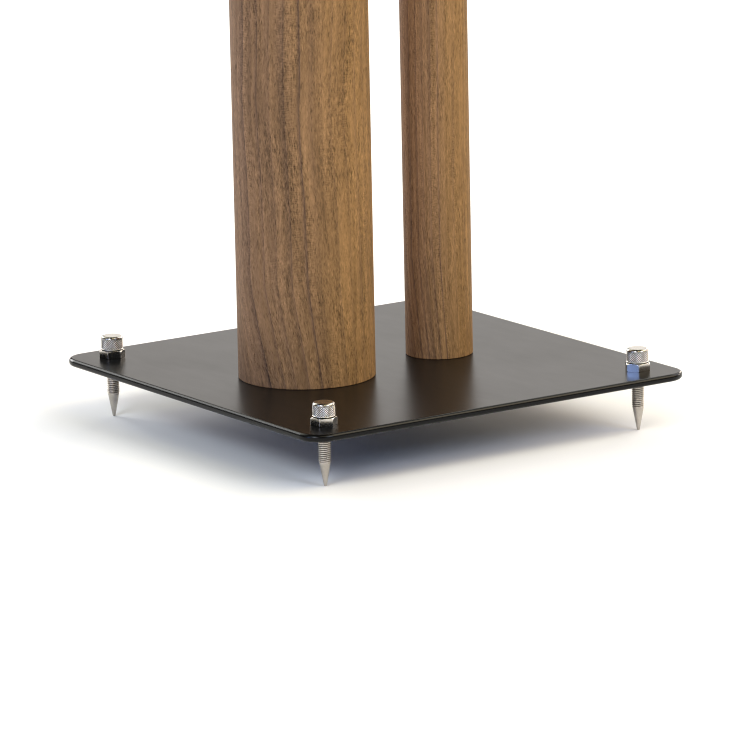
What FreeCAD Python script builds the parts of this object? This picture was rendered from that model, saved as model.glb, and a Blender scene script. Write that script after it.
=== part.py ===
import FreeCAD, Part
import math
import os

# Speaker stand: two steel plates joined by a large front column and a small rear column of
# walnut, standing on four adjustable spikes.
#
# Frame: millimetres, +Z up. The origin is on the floor, under the middle of the base plate,
# where the spike points rest at z = 0. The front of the stand faces -Y, the large column is in
# front of the small one, and +X is on the right for a person who looks along +Y.

os.makedirs("parts", exist_ok=True)

V = FreeCAD.Vector

# ---- driving dimensions ---------------------------------------------------------------------
BASE_W = 300.0            # base plate, along X
BASE_D = 294.0            # base plate, along Y
BASE_T = 5.0              # base plate thickness
BASE_TOP_Z = 39.5         # upper face of the base plate above the floor
CORNER_R = 15.5           # corner radius of both plates
EDGE_R = 2.2              # rolled edge of both plates

OVERALL_H = 600.0         # floor to the upper face of the top plate
TOP_W = 200.0             # top plate, along X
TOP_D = 230.0             # top plate, along Y
TOP_T = 5.0

MAIN_R = 44.5             # large column, outside radius
MAIN_WALL = 15.5
MAIN_XY = (0.0, -51.5)
REAR_R = 22.1             # small column, outside radius
REAR_WALL = 7.6
REAR_XY = (0.0, 52.8)

PLUG_T = 22.0             # end plugs glued into the columns
PLUG_CHAMFER = 1.0

M6_SHANK_R = 3.0
M6_HEAD_R = 5.7
M6_INSERT_R = 4.5
M6_PCR = 17.0             # pitch radius of the three screws of the large column
M8_SHANK_R = 4.0
M8_HEAD_R = 7.6
M8_INSERT_R = 5.5
SCREW_CLEAR = 0.05        # radial running clearance of a screw in its insert
HOLE_CLEAR = 0.35         # radial clearance of a screw in its plate
INSERT_L = 13.0
SCREW_L = 16.0            # overall length of the countersunk screws

SPIKE_X = 125.0           # spike centres
SPIKE_Y = 122.0
THREAD_R = 4.0            # M8 thread, crest radius
THREAD_ROOT_R = 3.35
THREAD_P = 1.25
THREAD_HOLE_R = 4.05      # tapped hole, measured at the crests of the spike's thread
TIP_R = 0.9               # blunted point
CONE_H = 15.2             # height of the point below the thread
SPIKE_TOP_Z = 51.6        # upper end of the threaded stud, inside the cap

NUT_AF = 15.0             # lock nut across flats
NUT_H = 5.4
CAP_GAP = 0.3             # between the lock nut and the cap above it
CAP_R = 7.15              # knurled cap
CAP_H = 9.1
CAP_TOP_CHAMFER = 1.3
CAP_FOOT_CHAMFER = 0.85
CAP_BORE_R = 4.05
CAP_BORE_DEPTH = 6.4

PAD_R = 7.0               # pads under the speaker
PAD_T = 2.0
PAD_X = 84.0
PAD_Y = 99.0

# direction of one flat of each lock nut, in degrees from +X
NUT_TURN = {"front_left": -21.6, "front_right": -22.8, "rear_left": -47.0, "rear_right": -60.4}

BASE_BOT_Z = BASE_TOP_Z - BASE_T
TOP_BOT_Z = OVERALL_H - TOP_T
COLUMN_L = TOP_BOT_Z - BASE_TOP_Z


# ---- helpers --------------------------------------------------------------------------------
def cyl(r, h, x, y, z):
    return Part.makeCylinder(r, h, V(x, y, z))


def revolved(points, x=0.0, y=0.0):
    """Solid of revolution about the vertical line through x, y. points are (radius, z)."""
    pts = [V(r, 0, z) for r, z in points]
    pts.append(pts[0])
    face = Part.Face(Part.makePolygon(pts))
    solid = face.revolve(V(0, 0, 0), V(0, 0, 1), 360)
    solid.translate(V(x, y, 0))
    return solid


def hexagon(af, h, x, y, z, turn=0.0):
    """Upright hexagonal prism. turn is the direction of one flat, in degrees from +X."""
    rad = af / 2.0 / math.cos(math.radians(30))
    pts = []
    for i in range(6):
        a = math.radians(turn + 30 + 60 * i)
        pts.append(V(x + rad * math.cos(a), y + rad * math.sin(a), z))
    pts.append(pts[0])
    return Part.Face(Part.makePolygon(pts)).extrude(V(0, 0, h))


def rolled_plate(w, d, t, z0):
    """Flat plate with rounded corners whose upper and lower edges are rolled."""
    plate = Part.makeBox(w, d, t, V(-w / 2, -d / 2, z0))
    uprights = [e for e in plate.Edges if abs(e.Vertexes[0].Z - e.Vertexes[1].Z) > t / 2]
    plate = plate.makeFillet(CORNER_R, uprights)
    rims = []
    for e in plate.Edges:
        zs = [v.Z for v in e.Vertexes]
        if max(zs) - min(zs) < 1e-6:
            rims.append(e)
    return plate.makeFillet(EDGE_R, rims)


def csk_screw(x, y, z_face, up, shank_r, head_r, socket_af, socket_depth, length):
    """Countersunk socket screw. z_face is its flush head face; up is the way the point goes."""
    head_h = head_r - shank_r
    prof = [(0, 0), (head_r - 0.25, 0), (head_r, 0.25), (shank_r, head_h + 0.25),
            (shank_r, length - 0.6), (shank_r - 0.6, length), (0, length)]
    body = revolved(prof)
    socket = hexagon(socket_af, socket_depth + 1.0, 0, 0, -1.0)
    body = body.cut(socket)
    if up < 0:
        body.rotate(V(0, 0, 0), V(1, 0, 0), 180)
    body.translate(V(x, y, z_face))
    return body


def csk_hole(x, y, z_face, up, shank_r, head_r, t):
    """Space that a countersunk screw needs in a plate of thickness t. The head seats on its cone."""
    c = HOLE_CLEAR
    seat = head_r + 0.37
    prof = [(0, -1.0), (head_r + 0.05, -1.0), (head_r + 0.05, seat - head_r - 0.05),
            (shank_r + c, seat - shank_r - c), (shank_r + c, t + 1.0), (0, t + 1.0)]
    body = revolved(prof)
    if up < 0:
        body.rotate(V(0, 0, 0), V(1, 0, 0), 180)
    body.translate(V(x, y, z_face))
    return body


def insert(x, y, z_face, up, r, bore_r, length):
    """Brass threaded insert with two grip grooves, flush with the plug's face."""
    prof = [(bore_r, 0), (r, 0), (r, 3.0), (r - 0.7, 3.6), (r - 0.7, 4.6), (r, 5.2), (r, 8.0),
            (r - 0.7, 8.6), (r - 0.7, 9.6), (r, 10.2), (r, length - 1.0), (r - 1.0, length),
            (bore_r, length)]
    body = revolved(prof)
    if up < 0:
        body.rotate(V(0, 0, 0), V(1, 0, 0), 180)
    body.translate(V(x, y, z_face))
    return body


def plug(r, x, y, z_face, up, holes, hole_r):
    """Disc glued into a column's end, flush with it, with a blind hole for each insert."""
    c = PLUG_CHAMFER
    prof = [(0, 0), (r, 0), (r, PLUG_T - c), (r - c, PLUG_T), (0, PLUG_T)]
    body = revolved(prof)
    if up < 0:
        body.rotate(V(0, 0, 0), V(1, 0, 0), 180)
    body.translate(V(x, y, z_face))
    for hx, hy in holes:
        if up > 0:
            body = body.cut(cyl(hole_r, INSERT_L + 4.0, hx, hy, z_face))
        else:
            body = body.cut(cyl(hole_r, INSERT_L + 4.0, hx, hy, z_face - INSERT_L - 4.0))
    return body


def group(shapes):
    return shapes[0] if len(shapes) == 1 else Part.makeCompound(shapes)


# ---- screw positions ------------------------------------------------------------------------
main_screws = []
for i in range(3):
    ang = math.radians(90 + 120 * i)
    main_screws.append((MAIN_XY[0] + M6_PCR * math.cos(ang), MAIN_XY[1] + M6_PCR * math.sin(ang)))
rear_screws = [REAR_XY]

feet = {
    "front_left": (-SPIKE_X, -SPIKE_Y),
    "front_right": (SPIKE_X, -SPIKE_Y),
    "rear_left": (-SPIKE_X, SPIKE_Y),
    "rear_right": (SPIKE_X, SPIKE_Y),
}

nodes = {}

# ---- base plate -----------------------------------------------------------------------------
base = rolled_plate(BASE_W, BASE_D, BASE_T, BASE_BOT_Z)
for fx, fy in feet.values():
    base = base.cut(cyl(THREAD_HOLE_R, BASE_T + 2, fx, fy, BASE_BOT_Z - 1))
for sx, sy in main_screws:
    base = base.cut(csk_hole(sx, sy, BASE_BOT_Z, 1, M6_SHANK_R, M6_HEAD_R, BASE_T))
for sx, sy in rear_screws:
    base = base.cut(csk_hole(sx, sy, BASE_BOT_Z, 1, M8_SHANK_R, M8_HEAD_R, BASE_T))
nodes["base_plate"] = base

# ---- top plate ------------------------------------------------------------------------------
top = rolled_plate(TOP_W, TOP_D, TOP_T, TOP_BOT_Z)
for sx, sy in main_screws:
    top = top.cut(csk_hole(sx, sy, OVERALL_H, -1, M6_SHANK_R, M6_HEAD_R, TOP_T))
for sx, sy in rear_screws:
    top = top.cut(csk_hole(sx, sy, OVERALL_H, -1, M8_SHANK_R, M8_HEAD_R, TOP_T))
nodes["top_plate"] = top

nodes["speaker_bumpers"] = group([
    revolved([(0, 0), (PAD_R, 0), (PAD_R, PAD_T - 0.5), (PAD_R - 0.5, PAD_T), (0, PAD_T)],
             px, py).translated(V(0, 0, OVERALL_H))
    for px in (-PAD_X, PAD_X) for py in (-PAD_Y, PAD_Y)])

# ---- columns: hollow, open at both ends, closed by the plugs ---------------------------------
for name, (cx, cy), r, wall in (("main_column", MAIN_XY, MAIN_R, MAIN_WALL),
                                ("rear_column", REAR_XY, REAR_R, REAR_WALL)):
    z0, z1, e = BASE_TOP_Z, TOP_BOT_Z, 0.4
    nodes[name] = revolved([(r - wall, z0), (r - e, z0), (r, z0 + e), (r, z1 - e), (r - e, z1),
                            (r - wall, z1)], cx, cy)

main_in = MAIN_R - MAIN_WALL
rear_in = REAR_R - REAR_WALL
nodes["main_lower_plug"] = plug(main_in, *MAIN_XY, BASE_TOP_Z, 1, main_screws, M6_INSERT_R)
nodes["main_upper_plug"] = plug(main_in, *MAIN_XY, TOP_BOT_Z, -1, main_screws, M6_INSERT_R)
nodes["rear_lower_plug"] = plug(rear_in, *REAR_XY, BASE_TOP_Z, 1, rear_screws, M8_INSERT_R)
nodes["rear_upper_plug"] = plug(rear_in, *REAR_XY, TOP_BOT_Z, -1, rear_screws, M8_INSERT_R)

# ---- inserts and screws ---------------------------------------------------------------------
for level, z_in, z_out, up in (("lower", BASE_TOP_Z, BASE_BOT_Z, 1),
                               ("upper", TOP_BOT_Z, OVERALL_H, -1)):
    nodes["main_%s_inserts" % level] = group([
        insert(x, y, z_in, up, M6_INSERT_R, M6_SHANK_R + SCREW_CLEAR, INSERT_L)
        for x, y in main_screws])
    nodes["rear_%s_insert" % level] = group([
        insert(x, y, z_in, up, M8_INSERT_R, M8_SHANK_R + SCREW_CLEAR, INSERT_L)
        for x, y in rear_screws])
    nodes["main_%s_screws" % level] = group([
        csk_screw(x, y, z_out + 0.1 * up, up, M6_SHANK_R, M6_HEAD_R, 4.0, 2.3, SCREW_L)
        for x, y in main_screws])
    nodes["rear_%s_screw" % level] = group([
        csk_screw(x, y, z_out + 0.1 * up, up, M8_SHANK_R, M8_HEAD_R, 5.0, 2.9, SCREW_L)
        for x, y in rear_screws])

# ---- feet: spike, lock nut and knurled cap at each corner -------------------------------------
# The thread is drawn as closed rings at its true pitch and depth.
flank = (THREAD_R - THREAD_ROOT_R) * math.tan(math.radians(30))
crest = THREAD_P / 8.0
root = THREAD_P - crest - 2 * flank


def spike(x, y):
    prof = [(0, 0), (TIP_R, 0), (THREAD_ROOT_R, CONE_H)]
    z = CONE_H + 0.35
    prof.append((THREAD_ROOT_R, z))
    while z + THREAD_P < SPIKE_TOP_Z - 0.9:
        prof.append((THREAD_R, z + flank))
        prof.append((THREAD_R, z + flank + crest))
        prof.append((THREAD_ROOT_R, z + 2 * flank + crest))
        z += THREAD_P
        prof.append((THREAD_ROOT_R, z))
    prof.append((THREAD_ROOT_R, SPIKE_TOP_Z - 0.5))
    prof.append((THREAD_ROOT_R - 0.5, SPIKE_TOP_Z))
    prof.append((0, SPIKE_TOP_Z))
    return revolved(prof, x, y)


def lock_nut(x, y, turn):
    z0, h = BASE_TOP_Z, NUT_H
    body = hexagon(NUT_AF, h, x, y, z0, turn)
    ac = NUT_AF / 2.0 / math.cos(math.radians(30))
    flat = NUT_AF / 2.0 - 0.35
    rise = (ac + 0.5 - flat) * math.tan(math.radians(32))
    low = 0.35
    shaper = revolved([(0, z0), (ac - 0.75, z0), (ac + 0.5, z0 + low + 0.35), (ac + 0.5, z0 + h - rise),
                       (flat, z0 + h), (0, z0 + h)], x, y)
    body = body.common(shaper)
    body = body.cut(cyl(THREAD_HOLE_R, h + 2, x, y, z0 - 1))
    mouth = revolved([(0, z0 + h - 0.7), (THREAD_HOLE_R, z0 + h - 0.7),
                      (THREAD_HOLE_R + 0.9, z0 + h + 0.2), (0, z0 + h + 0.2)], x, y)
    return body.cut(mouth)


def knurled_cap(x, y):
    z0 = BASE_TOP_Z + NUT_H + CAP_GAP
    z1 = z0 + CAP_H
    f, t = CAP_FOOT_CHAMFER, CAP_TOP_CHAMFER
    return revolved([(CAP_BORE_R, z0), (CAP_R - f, z0), (CAP_R, z0 + f), (CAP_R, z1 - t),
                     (CAP_R - 0.45 * t, z1 - 0.42 * t), (CAP_R - t, z1), (0, z1),
                     (0, z0 + CAP_BORE_DEPTH + 1.2), (CAP_BORE_R, z0 + CAP_BORE_DEPTH)], x, y)


for corner, (fx, fy) in feet.items():
    nodes["spike_" + corner] = spike(fx, fy)
    nodes["lock_nut_" + corner] = lock_nut(fx, fy, NUT_TURN[corner])
    nodes["cap_" + corner] = knurled_cap(fx, fy)

# ---- export ---------------------------------------------------------------------------------
for name, shape in nodes.items():
    if not shape.isValid():
        print("NOT VALID", name)
    print("%-26s solids %d  volume %.1f mm3" % (name, len(shape.Solids), shape.Volume))
    shape.exportStep("parts/%s.step" % name)
print(len(nodes), "nodes")
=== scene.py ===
import math

import bmesh
import bpy
import numpy as np
from mathutils import Matrix, Vector


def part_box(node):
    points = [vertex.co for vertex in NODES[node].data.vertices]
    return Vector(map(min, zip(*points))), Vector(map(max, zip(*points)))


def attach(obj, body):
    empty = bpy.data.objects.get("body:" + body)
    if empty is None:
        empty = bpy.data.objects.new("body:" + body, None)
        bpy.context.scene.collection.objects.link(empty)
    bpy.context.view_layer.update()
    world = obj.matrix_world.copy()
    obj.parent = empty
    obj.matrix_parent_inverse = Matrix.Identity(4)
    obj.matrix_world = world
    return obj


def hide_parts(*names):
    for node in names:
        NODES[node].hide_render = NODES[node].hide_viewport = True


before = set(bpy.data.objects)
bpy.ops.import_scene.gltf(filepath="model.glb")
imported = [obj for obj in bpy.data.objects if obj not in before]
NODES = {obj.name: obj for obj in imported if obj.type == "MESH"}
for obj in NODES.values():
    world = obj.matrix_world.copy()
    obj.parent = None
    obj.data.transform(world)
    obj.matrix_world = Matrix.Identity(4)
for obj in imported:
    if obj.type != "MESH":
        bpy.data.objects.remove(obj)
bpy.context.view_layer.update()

MM = 0.001
CORNERS = ("front_left", "front_right", "rear_left", "rear_right")
FOOT_X, FOOT_Y = 0.125, 0.122


# ------------------------------------------------------------------ camera
def make_camera():
    az, el, roll = 0.97711, 0.22188, -0.0205
    dist, ux, uy, f_px = 4.06484, 0.000616, 0.031105, 6223.10
    back = Vector((math.sin(az) * math.cos(el), -math.cos(az) * math.cos(el), math.sin(el)))
    right = Vector((math.cos(az), math.sin(az), 0.0))
    up = back.cross(right)
    r2 = right * math.cos(roll) + up * math.sin(roll)
    u2 = -right * math.sin(roll) + up * math.cos(roll)
    loc = back * dist + r2 * ux + u2 * uy
    cam_data = bpy.data.cameras.new("camera")
    cam_data.sensor_fit = "HORIZONTAL"
    cam_data.sensor_width = 36.0
    cam_data.lens = f_px / 750.0 * 36.0
    cam_data.clip_start = 0.05
    cam_data.clip_end = 60.0
    cam = bpy.data.objects.new("camera", cam_data)
    bpy.context.scene.collection.objects.link(cam)
    cam.matrix_world = Matrix((
        (r2.x, u2.x, back.x, loc.x),
        (r2.y, u2.y, back.y, loc.y),
        (r2.z, u2.z, back.z, loc.z),
        (0, 0, 0, 1)))
    bpy.context.scene.camera = cam
    return back, right


BACK, RIGHT = make_camera()


# ------------------------------------------------------------------ node helpers
class Tree:
    """Small helper round a material's node tree."""

    def __init__(self, name):
        self.mat = bpy.data.materials.new(name)
        self.mat.use_nodes = True
        self.t = self.mat.node_tree
        self.t.nodes.clear()
        self.out = self.t.nodes.new("ShaderNodeOutputMaterial")
        self.bsdf = self.t.nodes.new("ShaderNodeBsdfPrincipled")
        self.t.links.new(self.bsdf.outputs["BSDF"], self.out.inputs["Surface"])

    def put(self, sock, v):
        if isinstance(v, bpy.types.NodeSocket):
            self.t.links.new(v, sock)
        elif isinstance(v, (tuple, list)) and sock.type == "RGBA" and len(v) == 3:
            sock.default_value = (*v, 1.0)
        else:
            sock.default_value = v

    def node(self, kind, **props):
        n = self.t.nodes.new(kind)
        for k, v in props.items():
            setattr(n, k, v)
        return n

    def math(self, op, a, b=None, c=None, clamp=False):
        n = self.node("ShaderNodeMath", operation=op, use_clamp=clamp)
        self.put(n.inputs[0], a)
        if b is not None:
            self.put(n.inputs[1], b)
        if c is not None:
            self.put(n.inputs[2], c)
        return n.outputs[0]

    def map(self, v, a0, a1, b0=0.0, b1=1.0, smooth=False):
        n = self.node("ShaderNodeMapRange")
        if smooth:
            n.interpolation_type = "SMOOTHSTEP"
        self.put(n.inputs["Value"], v)
        for k, x in (("From Min", a0), ("From Max", a1), ("To Min", b0), ("To Max", b1)):
            self.put(n.inputs[k], x)
        return n.outputs["Result"]

    def xyz(self, v):
        n = self.node("ShaderNodeSeparateXYZ")
        self.put(n.inputs[0], v)
        return n.outputs[0], n.outputs[1], n.outputs[2]

    def vec(self, x, y, z):
        n = self.node("ShaderNodeCombineXYZ")
        for s, v in zip(n.inputs, (x, y, z)):
            self.put(s, v)
        return n.outputs[0]

    def obj(self):
        return self.node("ShaderNodeTexCoord").outputs["Object"]

    def noise(self, vec, scale=1.0, detail=2.0, rough=0.5, distort=0.0):
        n = self.node("ShaderNodeTexNoise")
        self.put(n.inputs["Vector"], vec)
        n.inputs["Scale"].default_value = scale
        n.inputs["Detail"].default_value = detail
        n.inputs["Roughness"].default_value = rough
        n.inputs["Distortion"].default_value = distort
        return n.outputs["Fac"]

    def ramp(self, fac, stops, interp="LINEAR"):
        n = self.node("ShaderNodeValToRGB")
        self.put(n.inputs["Fac"], fac)
        cr = n.color_ramp
        cr.interpolation = interp
        while len(cr.elements) > 1:
            cr.elements.remove(cr.elements[-1])
        first = True
        for pos, col in stops:
            if not isinstance(col, (tuple, list)):
                col = (col, col, col)
            if first:
                el = cr.elements[0]
                el.position = pos
                first = False
            else:
                el = cr.elements.new(pos)
            el.color = (*col[:3], 1.0)
        return n.outputs["Color"]

    def mix(self, fac, a, b, blend="MIX"):
        n = self.node("ShaderNodeMix", data_type="RGBA", blend_type=blend)
        n.clamp_factor = True
        self.put(n.inputs["Factor"], fac)
        self.put(n.inputs[6], a)
        self.put(n.inputs[7], b)
        return n.outputs[2]

    def bump(self, height, strength=0.5, distance=0.0002, normal=None):
        n = self.node("ShaderNodeBump")
        self.put(n.inputs["Height"], height)
        n.inputs["Strength"].default_value = strength
        n.inputs["Distance"].default_value = distance
        if normal is not None:
            self.put(n.inputs["Normal"], normal)
        return n.outputs["Normal"]

    def set(self, name, v):
        self.put(self.bsdf.inputs[name], v)


# ------------------------------------------------------------------ materials
def powder_coat():
    """Satin black powder coat: fine even orange peel and a few faint rubbed patches."""
    t = Tree("powder_coat")
    p = t.obj()
    fine = t.noise(p, scale=2600.0, detail=2.0, rough=0.55)
    peel = t.noise(p, scale=700.0, detail=2.0, rough=0.5)
    broad = t.noise(p, scale=9.0, detail=4.0, rough=0.6)
    smear = t.noise(t.vec(*[t.math("MULTIPLY", c, k) for c, k in zip(t.xyz(p), (1.0, 3.5, 1.0))]),
                    scale=28.0, detail=3.0, rough=0.6)
    col = t.mix(t.map(fine, 0.3, 0.75), (0.0014, 0.0014, 0.0014), (0.0034, 0.0033, 0.0032))
    t.set("Base Color", col)
    rough = t.math("ADD", t.map(broad, 0.3, 0.7, 0.285, 0.310), t.map(smear, 0.35, 0.75, -0.008, 0.012))
    x, y, z = t.xyz(p)
    flat = t.math("MULTIPLY", t.map(z, 39.42 * MM, 39.48 * MM), t.map(z, 0.5, 0.501, 1.0, 0.0))
    flat = t.math("MAXIMUM", flat, t.map(z, 599.92 * MM, 599.98 * MM))
    t.set("Roughness", t.math("SUBTRACT", rough, t.map(flat, 0.0, 1.0, 0.070, 0.0)))
    t.set("IOR", 1.45)
    t.set("Specular IOR Level", 0.20)
    h = t.math("ADD", t.math("MULTIPLY", fine, 0.6), t.math("MULTIPLY", peel, 0.4))
    t.set("Normal", t.bump(h, 0.05, 0.00003))
    return t.mat


def walnut(name, cx, cy, radius, seam, z0, seed=0.0, painted_light_gain=1.0, painted_light_lean=0.0):
    """Walnut veneer wrapped round a column, grain upright, its joint on the side given by seam.

    u runs round the column in metres of a 44.5 mm radius leaf, zero on the front right; h runs up
    it. The growth lines drift sideways near the foot, as they do in a flat-cut leaf.
    """
    t = Tree(name)
    x, y, z = t.xyz(t.obj())
    dx = t.math("SUBTRACT", x, cx)
    dy = t.math("SUBTRACT", y, cy)
    ang = t.math("ARCTAN2", t.math("MULTIPLY", dx, seam), t.math("MULTIPLY", dy, -seam))
    u = t.math("SUBTRACT", t.math("MULTIPLY", ang, 0.0445), 0.0435)
    h = t.math("SUBTRACT", z, z0)

    def at(c, ku, kh, k, detail=2.0, rough=0.5, distort=0.0):
        return t.noise(t.vec(t.math("MULTIPLY", c, ku), t.math("MULTIPLY", h, kh), seed + k), 1.0, detail, rough,
                       distort)

    # slow wander of the growth lines, calm near the foot
    wander = t.math("MULTIPLY", t.math("SUBTRACT", at(u, 9.0, 3.6, 0.0, 2.0, 0.45), 0.5), 0.030)
    wander = t.math("MULTIPLY", wander, t.map(h, 0.05, 0.22, 0.15, 1.0, smooth=True))
    foot = t.math("POWER", t.map(h, 0.070, 0.0, 0.0, 1.0), 1.25)
    drift = t.math("MULTIPLY", foot, t.map(u, -0.055, 0.035, 0.0233, 0.0022))
    g0 = t.math("SUBTRACT", t.math("SUBTRACT", u, drift), wander)
    # interlocked fibres: the grain weaves a little, more in some stripes
    weave = t.math("MULTIPLY", t.math("SUBTRACT", at(g0, 210.0, 95.0, 3.0, 2.0, 0.6), 0.5), 0.0017)
    g = t.math("ADD", g0, weave)
    gj = t.math("ADD", g0, t.math("MULTIPLY", t.math("SUBTRACT", at(g0, 110.0, 40.0, 13.0, 3.0, 0.6), 0.5), 0.0014))

    # growth lines: where each one lies across the leaf in mm, how dark, how far it shades off
    lines = [(-138, .35, 4), (-128, .6, 3), (-119, .3, 5), (-108, .75, 4), (-97, .45, 3), (-88, .7, 5),
             (-80, .3, 3), (-73, .55, 4), (-66, .35, 4), (-60, .6, 4), (-53, .4, 3), (-46.5, .40, 2),
             (-39.2, 1.15, 6.0), (-31.5, .42, 4), (-26.6, .85, 5), (-17.4, .55, 5), (-7.0, .75, 5), (3.1, 1.0, 2.4),
             (11.5, .25, 4), (24.5, .38, 4), (34, .25, 3), (43, .45, 4), (52, .3, 4), (61, .65, 4), (71, .4, 3),
             (82, .75, 4), (92, .35, 4), (104, .6, 3), (115, .45, 4), (127, .7, 4)]
    dark = None
    for i in range(0, len(lines), 6):
        part = lines[i:i + 6]
        lo, hi = part[0][0] - 6.0, part[-1][0] + 3.0
        stops = [(0.0, 0.0)]
        for mm, depth, w in part:
            stops += [((mm - w - lo) / (hi - lo), 0.0), ((mm - 0.5 - lo) / (hi - lo), 0.58 * depth),
                      ((mm - lo) / (hi - lo), depth), ((mm + 0.6 - lo) / (hi - lo), 0.15 * depth),
                      ((mm + 1.3 - lo) / (hi - lo), 0.0)]
        r = t.ramp(t.map(gj, lo * MM, hi * MM), stops)
        dark = r if dark is None else t.math("MAXIMUM", dark, r)
    dark = t.math("MULTIPLY", dark, t.map(at(g, 260.0, 30.0, 9.0, 2.0, 0.6), 0.30, 0.66, 0.78, 1.12))

    broad = at(gj, 62.0, 2.4, 5.0, 3.0, 0.55)
    stripe = at(gj, 190.0, 9.0, 6.0, 2.0, 0.55)
    patch = at(g0, 105.0, 26.0, 7.0, 2.0, 0.5)
    fleck_c = at(g, 420.0, 78.0, 8.0, 2.0, 0.6)
    fleck_b = at(g, 860.0, 190.0, 1.0, 2.0, 0.6)
    fleck_a = at(g, 1500.0, 330.0, 2.0, 2.0, 0.65)

    # brightness of the wood at each point, as a factor
    lively = t.map(patch, 0.34, 0.66, 0.55, 1.45)
    fine = t.math("ADD", t.math("MULTIPLY", t.math("SUBTRACT", fleck_a, 0.5), 1.30),
                  t.math("MULTIPLY", t.math("SUBTRACT", fleck_b, 0.5), 0.92))
    lum = t.math("MULTIPLY", fine, lively)
    lum = t.math("ADD", lum, t.math("MULTIPLY", t.math("SUBTRACT", fleck_c, 0.5), 0.58))
    lum = t.math("ADD", lum, t.math("MULTIPLY", t.math("SUBTRACT", stripe, 0.5), 1.12))
    lum = t.math("ADD", lum, 1.0)
    # curl marks across the grain in some stripes
    curl = at(g, 330.0, 1150.0, 18.0, 1.0, 0.5)
    where = t.map(at(g0, 95.0, 11.0, 11.0, 1.0, 0.5), 0.53, 0.66, 0.0, 1.0)
    near = t.math("MULTIPLY", t.map(t.math("ABSOLUTE", t.math("ADD", g0, 0.0030)), 0.0022, 0.0044, 1.0, 0.0),
                  t.map(h, 0.045, 0.085, 0.0, 1.0))
    where = t.math("MAXIMUM", where, near)
    lum = t.math("ADD", lum, t.math("MULTIPLY", t.math("MULTIPLY", t.math("SUBTRACT", curl, 0.5), 0.85), where))
    # open pores: short dark dashes along the grain
    pore = at(g, 1150.0, 235.0, 4.0, 1.0, 0.5)
    cut = t.map(at(g0, 100.0, 30.0, 16.0, 2.0, 0.5), 0.32, 0.68, 0.66, 0.545)
    pores = t.math("MULTIPLY", t.math("SUBTRACT", pore, cut), 10.0, clamp=True)
    lum = t.math("MULTIPLY", lum, t.map(pores, 0.0, 1.0, 1.0, 0.68))
    lum = t.math("MAXIMUM", lum, 0.22)

    # colour: partly the leaf's own tone varying at random, partly painted light: greyer and darker brown on the
    # cool-lit left of the front, brighter and golden on the warm-lit right
    tone = t.map(u, -0.050, 0.045, 0.0, 1.0)
    tone = t.math("ADD", t.math("MULTIPLY", tone, 0.66), t.math("MULTIPLY", broad, 0.46))
    base = t.ramp(tone, [(0.08, (0.178, 0.105, 0.062)), (0.32, (0.192, 0.111, 0.060)),
                         (0.55, (0.198, 0.111, 0.051)), (0.80, (0.226, 0.125, 0.047)),
                         (1.0, (0.252, 0.138, 0.048))])
    base = t.mix(t.math("MULTIPLY", dark, 0.90), base, (0.080, 0.048, 0.034))
    # painted light and shade: the whole leaf is scaled by a gain, and one side of the front is painted lighter and
    # the other darker
    n = t.node("ShaderNodeVectorMath", operation="SCALE")
    t.put(n.inputs[0], base)
    t.put(n.inputs["Scale"], t.math("MULTIPLY", lum, t.map(u, -0.060, 0.060, painted_light_gain + painted_light_lean, painted_light_gain - painted_light_lean)))
    base = n.outputs[0]
    # the joint of the leaf
    edge = t.math("SUBTRACT", math.pi, t.math("ABSOLUTE", ang))
    joint = t.map(t.math("MULTIPLY", edge, radius), 0.0, 0.00018, 0.6, 0.0)
    base = t.mix(joint, base, (0.040, 0.025, 0.016))
    t.set("Base Color", base)
    t.set("Roughness", t.math("ADD", t.map(fleck_b, 0.3, 0.7, 0.58, 0.66), t.math("MULTIPLY", pores, 0.15)))
    t.set("IOR", 1.45)
    t.set("Specular IOR Level", 0.11)
    hgt = t.math("SUBTRACT", t.math("MULTIPLY", fleck_b, 0.5),
                 t.math("ADD", t.math("MULTIPLY", pores, 0.9), t.math("MULTIPLY", dark, 0.10)))
    t.set("Normal", t.bump(hgt, 0.35, 0.00010))
    return t.mat


def from_foot_axis(t, x, y):
    """Distance from the nearest foot's axis, the same for all four feet."""
    dx = t.math("SUBTRACT", t.math("ABSOLUTE", x), FOOT_X)
    dy = t.math("SUBTRACT", t.math("ABSOLUTE", y), FOOT_Y)
    return t.math("SQRT", t.math("ADD", t.math("MULTIPLY", dx, dx), t.math("MULTIPLY", dy, dy)))


def turned_steel():
    """Bare turned steel of the spikes: fine tool rings, a warm tone, painted shade in the roots of the thread."""
    t = Tree("turned_steel")
    x, y, z = t.xyz(t.obj())
    away = from_foot_axis(t, x, y)
    # painted shade in the roots of the thread, darkening the colour there
    painted_root_shade = t.math("MULTIPLY", t.map(away, 3.30 * MM, 3.95 * MM, 1.0, 0.0), t.map(z, 15.3 * MM, 16.6 * MM))
    rings = t.noise(t.vec(t.math("MULTIPLY", x, 30.0), t.math("MULTIPLY", y, 30.0), t.math("MULTIPLY", z, 5200.0)),
                    1.0, 3.0, 0.6)
    tarn = t.noise(t.obj(), 160.0, 4.0, 0.6)
    col = t.mix(t.map(tarn, 0.35, 0.7), (0.60, 0.555, 0.50), (0.47, 0.43, 0.385))
    col = t.mix(t.map(z, 15.0 * MM, 15.4 * MM, 0.14, 0.0), col, (0.10, 0.09, 0.085))
    t.set("Base Color", t.mix(t.math("MULTIPLY", painted_root_shade, 0.46), col, (0.12, 0.10, 0.085)))
    t.set("Metallic", 1.0)
    satin = t.math("ADD", t.map(rings, 0.3, 0.7, 0.28, 0.36), t.map(tarn, 0.4, 0.8, 0.0, 0.05))
    t.set("Roughness", t.math("SUBTRACT", satin, t.map(z, 15.0 * MM, 15.4 * MM, 0.12, 0.0)))
    t.set("Normal", t.bump(rings, 0.30, 0.00003))
    return t.mat


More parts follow.
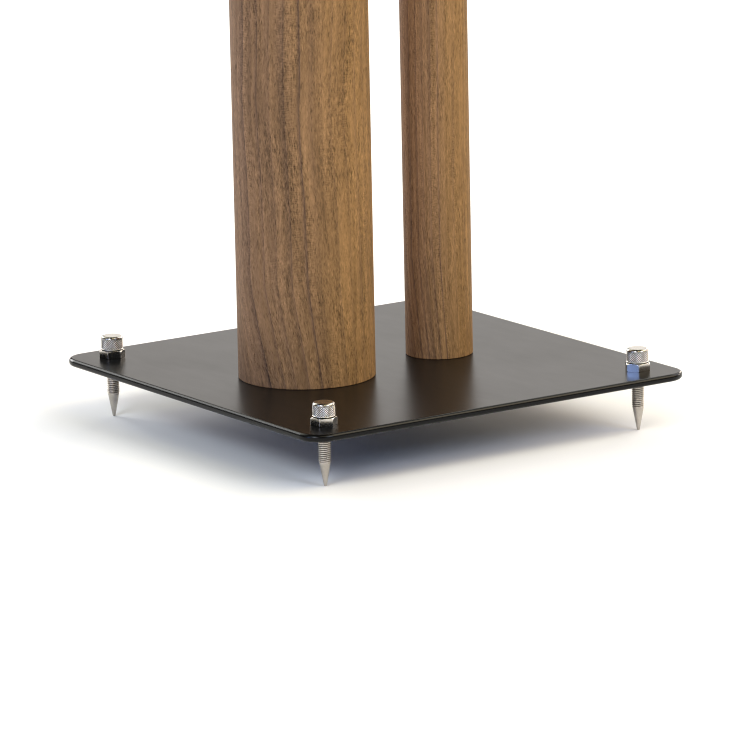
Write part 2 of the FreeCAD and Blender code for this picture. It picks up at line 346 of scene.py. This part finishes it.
def bright_nickel(name="bright_nickel", rough=0.11, knurled=False):
    """Bright nickel plate over machined metal. On a knurled cap, painted shade in the grooves of the knurl, on the
    shoulder and top and at the foot, and a brighter knurled band; on a nut, a painted shadow on its top under the
    cap.
    """
    t = Tree(name)
    p = t.obj()
    cloud = t.noise(p, 240.0, 4.0, 0.6)
    fine = t.noise(p, 3800.0, 2.0, 0.6)
    col = t.mix(t.map(cloud, 0.35, 0.75), (0.57, 0.54, 0.495), (0.48, 0.455, 0.415))
    satin = t.map(cloud, 0.3, 0.75, rough, rough + 0.035)
    if knurled:
        x, y, z = t.xyz(p)
        away = from_foot_axis(t, x, y)
        side = t.math("MULTIPLY", t.map(away, 6.45 * MM, 6.70 * MM), t.map(z, 52.50 * MM, 52.62 * MM, 1.0, 0.0))
        # painted shade in the grooves of the knurl
        painted_groove_shade = t.math("MULTIPLY", t.map(away, 6.80 * MM, 7.12 * MM, 1.0, 0.0), side)
        # painted light and shade on one nickel: the shoulder and top painted darker, darkest low on the shoulder, and
        # the knurled band painted brighter
        painted_top_shade = t.mix(t.map(z, 53.6 * MM, 54.2 * MM, 0.64, 0.84), (0.0, 0.0, 0.0), col)
        col = t.mix(side, painted_top_shade, (0.77, 0.735, 0.685))
        col = t.mix(t.math("MULTIPLY", painted_groove_shade, 0.88), col, (0.080, 0.070, 0.066))
        # painted shade at the foot of the cap, just over the nut
        col = t.mix(t.map(z, 45.22 * MM, 45.75 * MM, 0.85, 0.0), col, (0.05, 0.042, 0.036))
        satin = t.map(side, 0.0, 1.0, 0.23, t.map(cloud, 0.3, 0.75, rough, rough + 0.05))
    else:
        x, y, z = t.xyz(p)
        # painted shadow on the nut's top where the cap sits over it
        painted_cap_shadow = t.math("MULTIPLY", t.map(z, 44.78 * MM, 44.88 * MM), t.map(from_foot_axis(t, x, y), 7.2 * MM, 8.3 * MM, 0.7, 0.0))
        col = t.mix(painted_cap_shadow, col, (0.05, 0.042, 0.036))
    t.set("Base Color", col)
    t.set("Metallic", 1.0)
    t.set("Roughness", satin)
    t.set("Normal", t.bump(fine, 0.12 if knurled else 0.05, 0.00002))
    return t.mat


def black_oxide():
    """Oiled black oxide on the screws."""
    t = Tree("black_oxide")
    p = t.obj()
    n = t.noise(p, 900.0, 4.0, 0.65)
    t.set("Base Color", t.mix(t.map(n, 0.3, 0.75), (0.020, 0.020, 0.021), (0.050, 0.048, 0.046)))
    t.set("Metallic", 0.6)
    t.set("Roughness", t.map(n, 0.3, 0.75, 0.30, 0.46))
    t.set("Normal", t.bump(n, 0.25, 0.00004))
    return t.mat


def rubber():
    t = Tree("bumper_rubber")
    p = t.obj()
    n = t.noise(p, 1800.0, 3.0, 0.6)
    dust = t.noise(p, 120.0, 4.0, 0.6)
    t.set("Base Color", t.mix(t.map(dust, 0.4, 0.8), (0.016, 0.016, 0.016), (0.040, 0.039, 0.037)))
    t.set("Roughness", t.map(n, 0.3, 0.7, 0.62, 0.78))
    t.set("Normal", t.bump(n, 0.35, 0.00005))
    return t.mat


def brass():
    t = Tree("turned_brass")
    x, y, z = t.xyz(t.obj())
    n = t.noise(t.vec(t.math("MULTIPLY", x, 40.0), t.math("MULTIPLY", y, 40.0), t.math("MULTIPLY", z, 4200.0)),
                1.0, 3.0, 0.6)
    t.set("Base Color", t.mix(t.map(n, 0.3, 0.7), (0.70, 0.50, 0.24), (0.58, 0.40, 0.18)))
    t.set("Metallic", 1.0)
    t.set("Roughness", t.map(n, 0.3, 0.7, 0.24, 0.38))
    t.set("Normal", t.bump(n, 0.25, 0.00003))
    return t.mat


def fibreboard():
    t = Tree("fibreboard")
    p = t.obj()
    n = t.noise(p, 700.0, 4.0, 0.7)
    s = t.noise(p, 60.0, 3.0, 0.6)
    c = t.mix(t.map(n, 0.3, 0.75), (0.33, 0.225, 0.135), (0.46, 0.335, 0.215))
    t.set("Base Color", t.mix(t.map(s, 0.4, 0.8, 0.0, 0.4), c, (0.27, 0.18, 0.10)))
    t.set("Roughness", t.map(n, 0.3, 0.7, 0.80, 0.94))
    t.set("Normal", t.bump(n, 0.5, 0.00012))
    return t.mat


def assign(obj, mat):
    obj.data.materials.clear()
    obj.data.materials.append(mat)
    for p in obj.data.polygons:
        p.material_index = 0


def assign_cad(node, mat):
    o = NODES[node]
    if not o.material_slots:
        o.data.materials.append(mat)
    for s in o.material_slots:
        s.material = mat


# ------------------------------------------------------------------ mesh helpers
def mesh_object(name, verts, faces, mat, smooth=True):
    me = bpy.data.meshes.new(name)
    me.from_pydata([tuple(v) for v in verts], [], faces)
    me.update()
    bm = bmesh.new()
    bm.from_mesh(me)
    bmesh.ops.recalc_face_normals(bm, faces=bm.faces)
    bm.to_mesh(me)
    bm.free()
    for p in me.polygons:
        p.use_smooth = smooth
    o = bpy.data.objects.new(name, me)
    bpy.context.scene.collection.objects.link(o)
    assign(o, mat)
    return o


def ring_mesh(name, rows, cx, cy, mat, cap_start=True, cap_end=True, smooth=True):
    """Closed skin through rows. A row is (radii over the turn, heights over the turn)."""
    n = len(rows[0][0])
    th = np.arange(n) * 2 * math.pi / n
    ct, st = np.cos(th), np.sin(th)
    verts, faces = [], []
    for r, z in rows:
        z = np.broadcast_to(z, (n,))
        verts.append(np.stack([cx + r * ct, cy + r * st, z], -1))
    k = len(rows)
    verts = np.concatenate(verts)
    for i in range(k - 1):
        a = i * n
        for j in range(n):
            j2 = (j + 1) % n
            faces.append((a + j, a + j2, a + n + j2, a + n + j))
    verts = verts.tolist()
    if cap_start:
        verts.append([cx, cy, float(np.mean(rows[0][1]))])
        c = len(verts) - 1
        faces += [(c, (j + 1) % n, j) for j in range(n)]
    if cap_end:
        verts.append([cx, cy, float(np.mean(rows[-1][1]))])
        c = len(verts) - 1
        a = (k - 1) * n
        faces += [(c, a + j, a + (j + 1) % n) for j in range(n)]
    return mesh_object(name, verts, faces, mat, smooth)


def rounded(profile, radii, steps=4):
    """Polyline of (r, z) with each inner corner replaced by a small arc."""
    out = [profile[0]]
    for i in range(1, len(profile) - 1):
        p0, p1, p2 = (np.array(profile[j], float) for j in (i - 1, i, i + 1))
        rad = radii if not isinstance(radii, (list, tuple)) else radii[i]
        a, b = p0 - p1, p2 - p1
        la, lb = np.linalg.norm(a), np.linalg.norm(b)
        if rad <= 0 or la < 1e-9 or lb < 1e-9:
            out.append(tuple(p1))
            continue
        a, b = a / la, b / lb
        cosang = float(np.clip(a @ b, -1, 1))
        half = math.acos(cosang) / 2
        if half > math.pi / 2 - 0.02:
            out.append(tuple(p1))
            continue
        cut = min(rad / math.tan(half), 0.45 * la, 0.45 * lb)
        q0, q2 = p1 + a * cut, p1 + b * cut
        for s in range(steps + 1):
            w = s / steps
            q = (1 - w) ** 2 * q0 + 2 * w * (1 - w) * p1 + w ** 2 * q2
            out.append(tuple(q))
    out.append(profile[-1])
    return out


def soft_min(arrs, k):
    m = np.minimum.reduce(arrs)
    s = sum(np.exp(-(a - m) / k) for a in arrs)
    return m - k * np.log(s)


# ------------------------------------------------------------------ feet
NUT_TURN = {"front_left": -21.6, "front_right": -22.8, "rear_left": -47.0, "rear_right": -60.4}
BASE_TOP = 39.5
NUT_H = 5.4
THREAD = dict(r=4.0, root=3.22, pitch=1.25)
CONE_H = 15.2
STUD_TOP = 51.6


def centre(node):
    lo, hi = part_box(node)
    return (lo[0] + hi[0]) / 2, (lo[1] + hi[1]) / 2


def spike(corner, mat):
    node = "spike_" + corner
    cx, cy = centre(node)
    n = 72
    th = np.arange(n) * 2 * math.pi / n
    p, rr, rt = THREAD["pitch"], THREAD["r"], THREAD["root"]
    rows = []
    # blunted point and long cone, very slightly hollow-ground
    for r, z in ((0.45, 0.0), (0.72, 0.03), (0.9, 0.12)):
        rows.append((np.full(n, r), z))
    for w in np.linspace(0.02, 1.0, 40):
        r = 0.9 + (3.72 - 0.9) * w
        rows.append((np.full(n, r), 0.12 + (CONE_H - 0.12) * w))
    # helical thread, running in from the end of the cone
    crest, rootw = 0.42 * p, 0.12 * p
    flank = (p - crest - rootw) / 2
    for z in np.arange(CONE_H + 0.06, STUD_TOP - 0.55, p / 16):
        ph = np.mod((z - CONE_H) / p - th / (2 * math.pi), 1.0) * p
        h = np.clip(np.minimum(ph - rootw, p - ph) / flank, 0, 1)
        env = np.clip((z - CONE_H) / (0.9 * p), 0, 1)
        rows.append((3.72 + (rt - 3.72) * env + (rr - rt) * h * env, z))
    rows.append((np.full(n, rt), STUD_TOP - 0.5))
    rows.append((np.full(n, rt - 0.45), STUD_TOP))
    rows = [(r * MM, z * MM) for r, z in rows]
    o = ring_mesh("spike_" + corner + "_thread", rows, cx, cy, mat)
    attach(o, "spike_" + corner)
    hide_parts(node)
    return o


def lock_nut(corner, mat):
    node = "lock_nut_" + corner
    cx, cy = centre(node)
    n = 288
    th = np.arange(n) * 2 * math.pi / n
    af, h = 15.0, NUT_H
    turn = math.radians(NUT_TURN[corner])
    planes = []
    for i in range(6):
        c = np.cos(th - turn - math.radians(60 * i))
        planes.append(np.where(c > 0.3, (af / 2) / np.maximum(c, 0.3), 30.0))
    hexr = soft_min(planes, 0.045)
    flat = af / 2 - 0.08
    rows = []

    def outer(z):
        top = flat + (h - z) / math.tan(math.radians(30))
        low = af / 2 / math.cos(math.radians(30)) - 0.35 + z / math.tan(math.radians(38))
        return soft_min([hexr, np.full(n, top), np.full(n, low)], 0.05)

    bore = 4.05
    rows.append((np.full(n, bore), 0.0))
    rows.append((outer(0.02) - 0.12, 0.0))
    for z in np.concatenate([[0.03, 0.08, 0.15, 0.3, 0.5, 0.8], np.linspace(1.1, 3.2, 8), np.linspace(3.3, h - 0.06, 26)]):
        rows.append((outer(z), z))
    rt = outer(h - 0.06)
    rows.append((rt - 0.10, h - 0.01))
    rows.append((rt - 0.22, h))
    rows.append((np.full(n, bore + 1.02), h))
    rows.append((np.full(n, bore + 0.86), h - 0.05))
    rows.append((np.full(n, bore), h - 0.72))
    rows.append((np.full(n, bore), 0.0))
    rows = [(r * MM, (z + BASE_TOP) * MM) for r, z in rows]
    o = ring_mesh("lock_nut_" + corner + "_hex", rows, cx, cy, mat, cap_start=False, cap_end=False)
    weld(o)
    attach(o, "nut_" + corner)
    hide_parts(node)
    return o


def weld(o, dist=1e-7):
    bm = bmesh.new()
    bm.from_mesh(o.data)
    bmesh.ops.remove_doubles(bm, verts=bm.verts, dist=dist)
    bmesh.ops.recalc_face_normals(bm, faces=bm.faces)
    bm.to_mesh(o.data)
    bm.free()


def knurled_cap(corner, mat):
    node = "cap_" + corner
    cx, cy = centre(node)
    count = 28                     # diamonds round the cap
    n = count * 12
    th = np.arange(n) * 2 * math.pi / n
    z0 = BASE_TOP + NUT_H + 0.3
    z1 = z0 + 9.1
    r, foot, top, bore = 7.15, 0.45, 1.7, 4.05
    # skin from the roof of the bore, out through its mouth, up the side and over the top
    inner = [(bore, z0 + 6.4), (bore, z0 + 0.5), (bore + 0.5, z0), (r - foot, z0), (r, z0 + foot)]
    inner = rounded(inner, 0.16)
    outer = [(r - 2.0 * (1 - math.cos(a)), z1 - top * (1 - math.sin(a))) for a in np.linspace(0.0, math.pi / 2, 15)]
    outer += [(4.0, z1), (2.0, z1), (1.0, z1)]
    rows = [(np.full(n, a), b) for a, b in inner]
    depth = 0.38
    za, zb = z0 + foot + 0.05, z1 - top - 0.08
    for z in np.linspace(za, zb, 74):
        pa = np.mod(count * th / (2 * math.pi) + (z - za) / 1.45, 1.0)
        pb = np.mod(count * th / (2 * math.pi) - (z - za) / 1.45, 1.0)
        ga, gb = np.abs(pa - 0.5) * 2, np.abs(pb - 0.5) * 2      # 0 on a ridge, 1 in a groove
        g = np.maximum(ga, gb)
        g = np.clip((g - 0.12) / 0.88, 0, 1)
        env = min(1.0, (z - za) / 0.25, (zb - z) / 0.25)
        rows.append((r - depth * g * max(env, 0.0), z))
    rows += [(np.full(n, a), b) for a, b in outer]
    rows = [(a * MM, b * MM) for a, b in rows]
    o = ring_mesh("cap_" + corner + "_knurled", rows, cx, cy, mat)
    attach(o, "cap_" + corner)
    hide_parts(node)
    return o


# ------------------------------------------------------------------ stick-on bumpers on the top plate
def bumpers(mat):
    lo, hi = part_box("speaker_bumpers")
    z0, z1 = lo[2] / MM, hi[2] / MM
    r = 7.0
    objs = []
    for sx in (0, 1):
        for sy in (0, 1):
            cx = (lo[0] + r * MM) if sx == 0 else (hi[0] - r * MM)
            cy = (lo[1] + r * MM) if sy == 0 else (hi[1] - r * MM)
            n = 96
            prof = rounded([(0.6, z0), (r - 0.15, z0), (r, z0 + 0.35), (r - 0.25, z1 - 0.45), (r - 0.95, z1),
                            (5.3, z1), (5.05, z1 - 0.16), (4.8, z1), (3.5, z1), (3.25, z1 - 0.16), (3.0, z1),
                            (0.6, z1)], 0.18)
            rows = [(np.full(n, a) * MM, b * MM) for a, b in prof]
            objs.append(ring_mesh("bumper_%d%d" % (sx, sy), rows, cx, cy, mat))
    main = objs[0]
    for o in objs[1:]:
        o.parent = main
    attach(main, "root")
    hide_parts("speaker_bumpers")


# ------------------------------------------------------------------ build
coat = powder_coat()
steel = turned_steel()
nickel_cap = bright_nickel("nickel_cap", 0.28, True)
nickel_nut = bright_nickel("nickel_nut", 0.135)
oxide = black_oxide()
rub = rubber()

assign_cad("base_plate", coat)
assign_cad("top_plate", coat)
mcx, mcy = centre("main_column")
rcx, rcy = centre("rear_column")
assign_cad("main_column", walnut("walnut_main", mcx, mcy, 0.0445, 1.0, BASE_TOP * MM, 1.3, 1.02, 0.06))
# rear column: painted brighter overall, and painted lighter on its left and darker on its right
assign_cad("rear_column", walnut("walnut_rear", rcx, rcy, 0.0221, 1.0, BASE_TOP * MM, 21.7, 1.24, 0.34))
for nm in NODES:
    if "plug" in nm:
        assign_cad(nm, fibreboard() if not bpy.data.materials.get("fibreboard") else bpy.data.materials["fibreboard"])
    elif "insert" in nm:
        assign_cad(nm, brass() if not bpy.data.materials.get("turned_brass") else bpy.data.materials["turned_brass"])
    elif "screw" in nm:
        assign_cad(nm, oxide)

for c in CORNERS:
    spike(c, steel)
    lock_nut(c, nickel_nut)
    knurled_cap(c, nickel_cap)
bumpers(rub)


# ------------------------------------------------------------------ floor, world and lights
def make_floor():
    t = Tree("floor_white")
    paper = t.noise(t.obj(), 900.0, 3.0, 0.6)
    t.set("Base Color", t.mix(t.map(paper, 0.3, 0.7), (0.86, 0.86, 0.855), (0.88, 0.88, 0.875)))
    t.set("Roughness", 0.9)
    t.set("Specular IOR Level", 0.1)
    n, k = 96, 40
    verts = [(0, 0, 0)]
    faces = []
    for i in range(k):
        r = 9.0 * ((i + 1) / k) ** 2
        for j in range(n):
            a = 2 * math.pi * j / n
            verts.append((r * math.cos(a), r * math.sin(a), 0.0))
    for j in range(n):
        faces.append((0, 1 + j, 1 + (j + 1) % n))
    for i in range(k - 1):
        a = 1 + i * n
        for j in range(n):
            j2 = (j + 1) % n
            faces.append((a + j, a + n + j, a + n + j2, a + j2))
    o = mesh_object("floor", verts, faces, t.mat)
    return o


# Soft boxes round the stand: name, azimuth from +X and height in degrees, half width and half height,
# soft edge, radiance
BOXES = [
    ("key_right", 12.6, 29.1, 11.7, 8.0, 4.0, (5.8, 6.8, 8.6)),
    ("key_warm", 52.8, 34.4, 16.2, 12.6, 6.0, (4.3, 3.3, 1.3)),
    ("wide_right", 57.9, 38.8, 54.0, 13.8, 8.0, (2.0, 2.0, 2.4)),
    ("high_right", 20.6, 53.4, 52.5, 7.2, 8.0, (4.0, 3.5, 2.1)),
    ("left_box", -66.4, 36.4, 8.3, 8.0, 4.0, (9.8, 11.7, 13.4)),
    ("left_low", -56.7, 22.8, 10.8, 11.6, 6.0, (5.6, 5.4, 6.0)),
    ("left_wide", -93.8, 40.4, 31.6, 9.5, 8.0, (1.0, 1.0, 1.0)),
    ("window", -87.0, 12.7, 7.0, 7.0, 4.0, (2.8, 4.2, 8.6)),
    ("back_left", -173.5, 20.3, 15.5, 10.3, 6.0, (10.6, 10.6, 10.6)),
    ("back_right", 92.5, 15.0, 9.5, 6.8, 4.0, (11.3, 10.1, 8.7)),
    ("back_middle", 122.0, 15.0, 6.0, 6.8, 4.0, (11.3, 10.1, 8.7)),
    ("back_high", 158.3, 41.1, 58.9, 6.5, 10.0, (2.7, 2.7, 2.3)),
    ("back_wall", 138.0, 13.0, 16.0, 13.0, 14.0, (1.50, 1.43, 1.36)),
]


def make_world():
    w = bpy.data.worlds.new("studio")
    bpy.context.scene.world = w
    w.use_nodes = True
    nt = w.node_tree
    nt.nodes.clear()

    def mt(op, a, b=None, c=None):
        n = nt.nodes.new("ShaderNodeMath")
        n.operation = op
        for s, v in zip(n.inputs, (a, b, c)):
            if isinstance(v, bpy.types.NodeSocket):
                nt.links.new(v, s)
            elif v is not None:
                s.default_value = v
        return n.outputs[0]

    def fade(v, half, soft):
        n = nt.nodes.new("ShaderNodeMapRange")
        n.interpolation_type = "SMOOTHSTEP"
        nt.links.new(v, n.inputs["Value"])
        for k, x in (("From Min", half - soft / 2), ("From Max", half + soft / 2), ("To Min", 1.0), ("To Max", 0.0)):
            n.inputs[k].default_value = x
        return n.outputs["Result"]

    tc = nt.nodes.new("ShaderNodeTexCoord")
    sep = nt.nodes.new("ShaderNodeSeparateXYZ")
    nt.links.new(tc.outputs["Generated"], sep.inputs[0])
    az = mt("MULTIPLY", mt("ARCTAN2", sep.outputs[1], sep.outputs[0]), 180 / math.pi)
    el = mt("MULTIPLY", mt("ARCSINE", sep.outputs[2]), 180 / math.pi)
    acc = None
    for _, a0, e0, wa, we, soft, rgb in BOXES:
        da = mt("PINGPONG", mt("ADD", az, 720.0 - a0), 180.0)
        de = mt("ABSOLUTE", mt("SUBTRACT", el, e0))
        f = mt("MULTIPLY", fade(da, wa, soft), fade(de, we, soft))
        n = nt.nodes.new("ShaderNodeVectorMath")
        n.operation = "MULTIPLY_ADD"
        n.inputs[0].default_value = rgb
        nt.links.new(f, n.inputs[1])
        if acc is None:
            n.inputs[2].default_value = (0.012, 0.012, 0.012)
        else:
            nt.links.new(acc, n.inputs[2])
        acc = n.outputs[0]
    lit = nt.nodes.new("ShaderNodeBackground")
    nt.links.new(acc, lit.inputs["Color"])
    seen = nt.nodes.new("ShaderNodeBackground")
    seen.inputs["Color"].default_value = (1.0, 1.0, 1.0, 1.0)
    seen.inputs["Strength"].default_value = 1.02
    lp = nt.nodes.new("ShaderNodeLightPath")
    mix = nt.nodes.new("ShaderNodeMixShader")
    out = nt.nodes.new("ShaderNodeOutputWorld")
    nt.links.new(lp.outputs["Is Camera Ray"], mix.inputs["Fac"])
    nt.links.new(lit.outputs[0], mix.inputs[1])
    nt.links.new(seen.outputs[0], mix.inputs[2])
    nt.links.new(mix.outputs[0], out.inputs["Surface"])


make_floor()
make_world()

sc = bpy.context.scene
sc.view_settings.view_transform = "Standard"
sc.view_settings.look = "None"
sc.view_settings.exposure = 0.0
sc.view_settings.gamma = 1.0
sc.cycles.filter_width = 1.1
